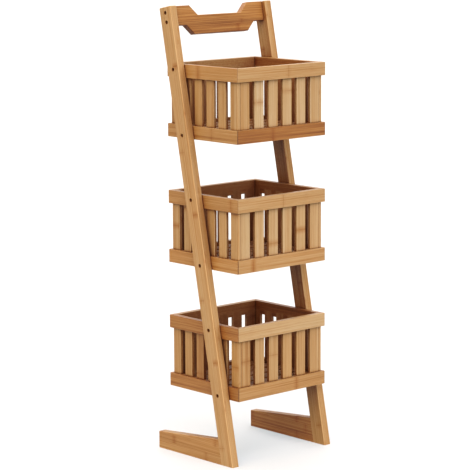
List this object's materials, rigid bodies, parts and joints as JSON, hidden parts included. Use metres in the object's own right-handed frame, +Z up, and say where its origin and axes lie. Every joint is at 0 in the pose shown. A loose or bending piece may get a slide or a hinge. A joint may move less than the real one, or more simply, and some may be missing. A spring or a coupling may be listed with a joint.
{
  "type": "storage rack",
  "caption": "Free-standing bamboo rack: two uprights that lean back on rear feet, a stepped crossbar, and open slatted baskets, mitred at the rims, one above the other.",
  "frame": {"origin": "centre of the footprint, on the floor: the middle of the bounding box at its base", "axes": "+X to the right as seen from the front, +Y to the rear, where the feet point, +Z up"},
  "size_m": [0.286, 0.235, 0.9466],
  "materials": {
    "bamboo_frame": "satin lacquered laminated bamboo",
    "bamboo_rim": "satin lacquered bamboo",
    "bamboo_slat": "satin lacquered bamboo",
    "hidden_wood": "plain sanded wood",
    "screw_steel": "dark bronzed steel"
  },
  "bodies": {
    "root": {"basket_bottom_floor_battens": "hidden_wood", "basket_bottom_floor_slats": "bamboo_slat", "basket_bottom_lower_rim_front": "bamboo_rim", "basket_bottom_lower_rim_left": "bamboo_rim", "basket_bottom_lower_rim_rear": "bamboo_rim", "basket_bottom_lower_rim_right": "bamboo_rim", "basket_bottom_screws": "screw_steel", "basket_bottom_slats_front": "bamboo_slat", "basket_bottom_slats_left": "bamboo_slat", "basket_bottom_slats_rear": "bamboo_slat", "basket_bottom_slats_right": "bamboo_slat", "basket_bottom_upper_rim_front": "bamboo_rim", "basket_bottom_upper_rim_left": "bamboo_rim", "basket_bottom_upper_rim_rear": "bamboo_rim", "basket_bottom_upper_rim_right": "bamboo_rim", "basket_middle_floor_battens": "hidden_wood", "basket_middle_floor_slats": "bamboo_slat", "basket_middle_lower_rim_front": "bamboo_rim", "basket_middle_lower_rim_left": "bamboo_rim", "basket_middle_lower_rim_rear": "bamboo_rim", "basket_middle_lower_rim_right": "bamboo_rim", "basket_middle_screws": "screw_steel", "basket_middle_slats_front": "bamboo_slat", "basket_middle_slats_left": "bamboo_slat", "basket_middle_slats_rear": "bamboo_slat", "basket_middle_slats_right": "bamboo_slat", "basket_middle_upper_rim_front": "bamboo_rim", "basket_middle_upper_rim_left": "bamboo_rim", "basket_middle_upper_rim_rear": "bamboo_rim", "basket_middle_upper_rim_right": "bamboo_rim", "basket_top_floor_battens": "hidden_wood", "basket_top_floor_slats": "bamboo_slat", "basket_top_lower_rim_front": "bamboo_rim", "basket_top_lower_rim_left": "bamboo_rim", "basket_top_lower_rim_rear": "bamboo_rim", "basket_top_lower_rim_right": "bamboo_rim", "basket_top_screws": "screw_steel", "basket_top_slats_front": "bamboo_slat", "basket_top_slats_left": "bamboo_slat", "basket_top_slats_rear": "bamboo_slat", "basket_top_slats_right": "bamboo_slat", "basket_top_upper_rim_front": "bamboo_rim", "basket_top_upper_rim_left": "bamboo_rim", "basket_top_upper_rim_rear": "bamboo_rim", "basket_top_upper_rim_right": "bamboo_rim", "crossbar": "bamboo_frame", "crossbar_screws": "screw_steel", "foot_dowels_left": "hidden_wood", "foot_dowels_right": "hidden_wood", "foot_left": "bamboo_frame", "foot_right": "bamboo_frame", "rail_left": "bamboo_frame", "rail_right": "bamboo_frame"}
  },
  "joints": []
}
